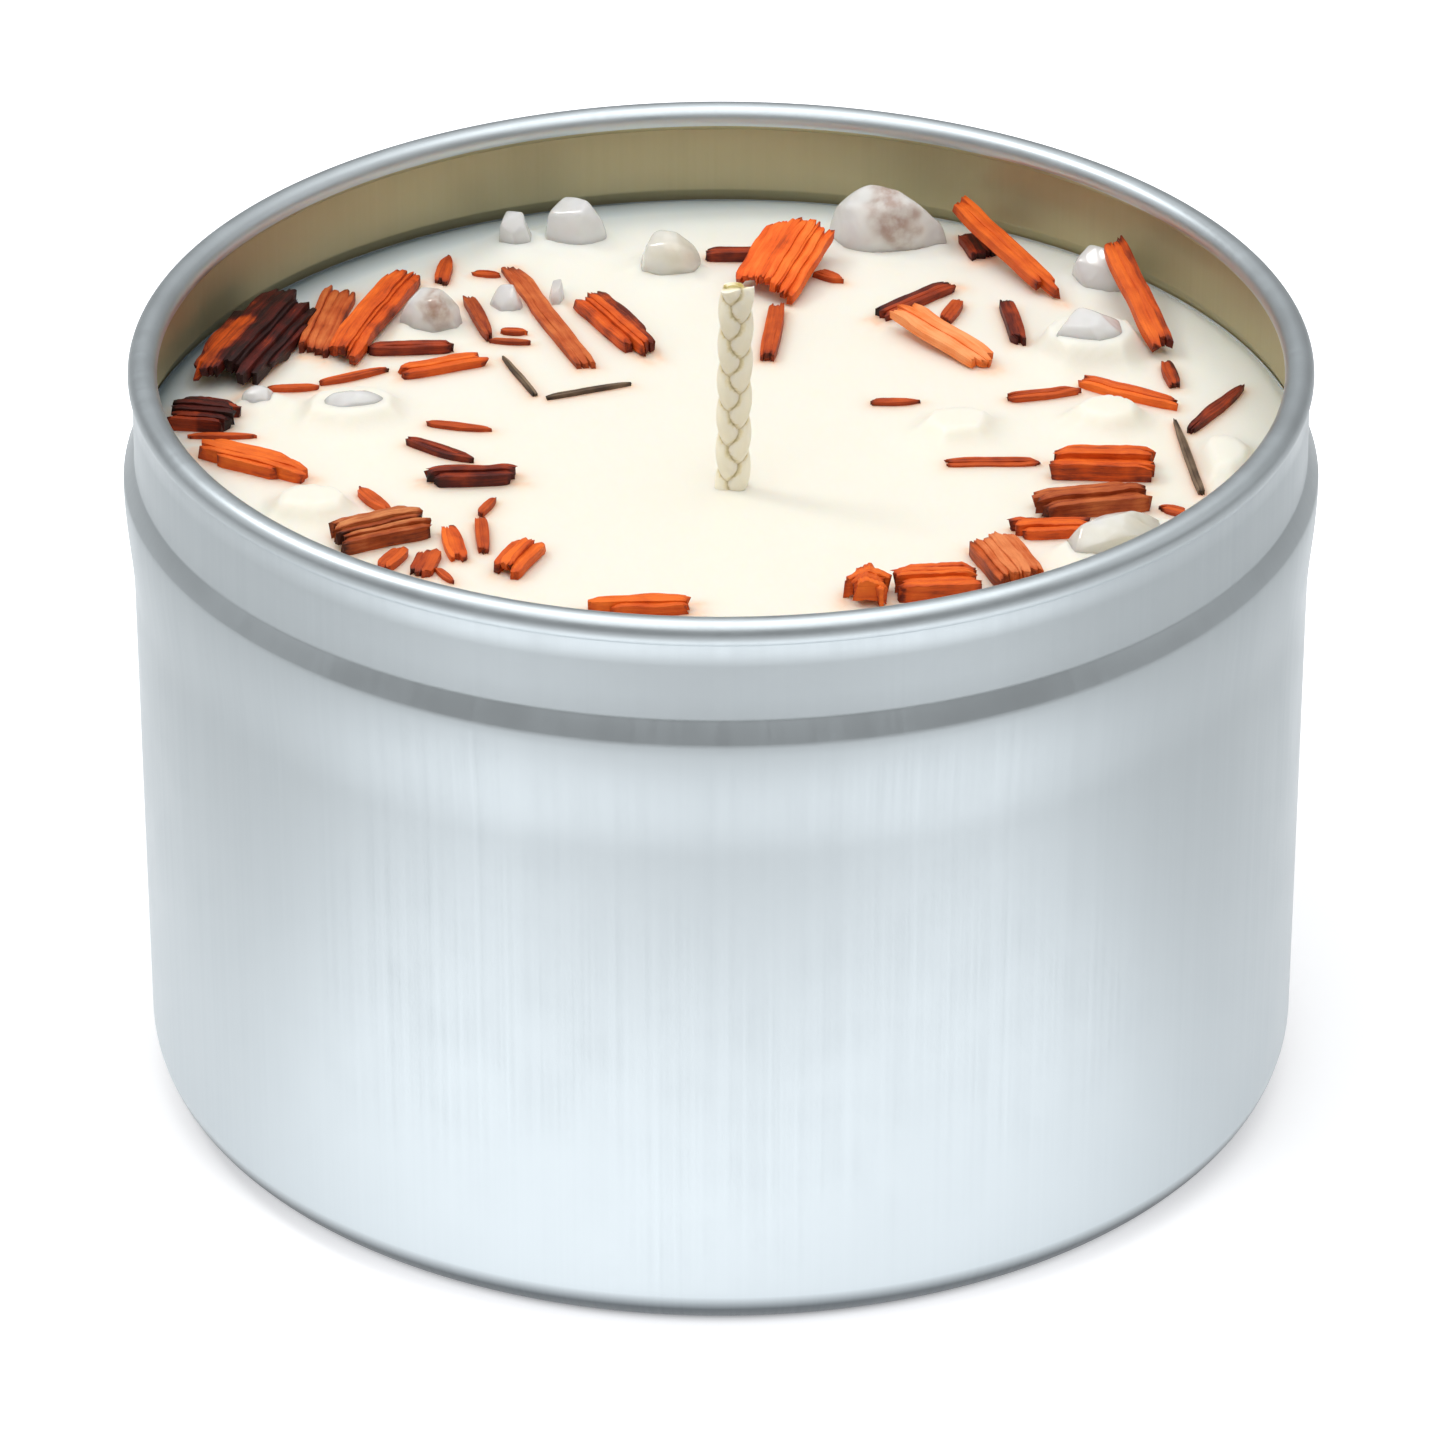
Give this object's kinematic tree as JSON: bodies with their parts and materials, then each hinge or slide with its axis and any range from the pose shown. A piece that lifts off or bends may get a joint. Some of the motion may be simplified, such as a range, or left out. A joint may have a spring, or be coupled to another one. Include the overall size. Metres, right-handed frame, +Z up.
{
  "type": "candle in a tin",
  "caption": "Round drawn metal tin filled with cream wax, with a standing braided wick, and quartz pebbles and split wood chips laid on the wax.",
  "frame": {"origin": "on the tin's axis, on the surface the tin stands on", "axes": "+Z up along the tin's axis; -Y is the front, the side that the wick stands nearest to; +X to the right"},
  "size_m": [0.0774, 0.0774, 0.0585],
  "materials": {
    "tinplate": "satin tinplate, faintly drawn lines",
    "wax": "cream soy wax, soft sheen, lets light in",
    "cotton": "flat braided cotton, waxed, cut end paler",
    "tab_steel": "plain tinned steel, hidden in the wax",
    "quartz": "cloudy clear quartz, waxed, faint brown inclusions",
    "wood_orange": "split bright orange wood, fibrous",
    "wood_rust": "split rust-brown wood, fibrous",
    "wood_terracotta": "split pale red wood, fibrous",
    "wood_maroon": "dark red bark and heartwood, fibrous"
  },
  "bodies": {
    "root": {"tin": "tinplate", "wax": "wax", "wick": "cotton", "wick_tab": "tab_steel", "quartz_peak": "quartz", "quartz_tall": "quartz", "quartz_round": "quartz", "quartz_split_left": "quartz", "quartz_split_right": "quartz", "quartz_grey": "quartz", "quartz_left_small": "quartz", "quartz_left_long": "quartz", "quartz_left_front": "quartz", "quartz_great": "quartz", "quartz_right_back": "quartz", "quartz_right_mid": "quartz", "quartz_right_edge": "quartz", "quartz_cream": "quartz", "quartz_low_centre": "quartz", "quartz_low_right": "quartz", "bark_great": "wood_maroon", "bark_edge": "wood_maroon", "plank_fluted": "wood_terracotta", "curl_long": "wood_orange", "stick_dark_left": "wood_maroon", "stick_orange_left": "wood_orange", "wedge_left": "wood_orange", "strip_terracotta": "wood_terracotta", "twig_leafy": "wood_maroon", "twig_vee": "wood_rust", "teardrop": "wood_orange", "stick_under_curl": "wood_maroon", "curl_bright": "wood_orange", "stick_dark_centre": "wood_rust", "stick_red": "wood_maroon", "strip_light": "wood_orange", "lath_leaning": "wood_orange", "plate_brown": "wood_maroon", "stick_dark_right": "wood_maroon", "lath_right": "wood_orange", "strip_right": "wood_orange", "stick_two_tone": "wood_rust", "sliver_edge": "wood_maroon", "twig_long": "wood_rust", "strip_flat": "wood_rust", "roll_orange": "wood_orange", "bark_right": "wood_rust", "strip_ribbed": "wood_orange", "slab_wide": "wood_orange", "block_fluted": "wood_orange", "lump_pointed": "wood_orange", "leaf_dark": "wood_maroon", "stick_bark": "wood_maroon", "chip_cupped": "wood_orange", "chip_small": "wood_orange", "bark_left": "wood_rust", "wedge_front": "wood_orange", "slivers_back": "wood_rust", "slivers_front": "wood_rust"}
  },
  "joints": []
}
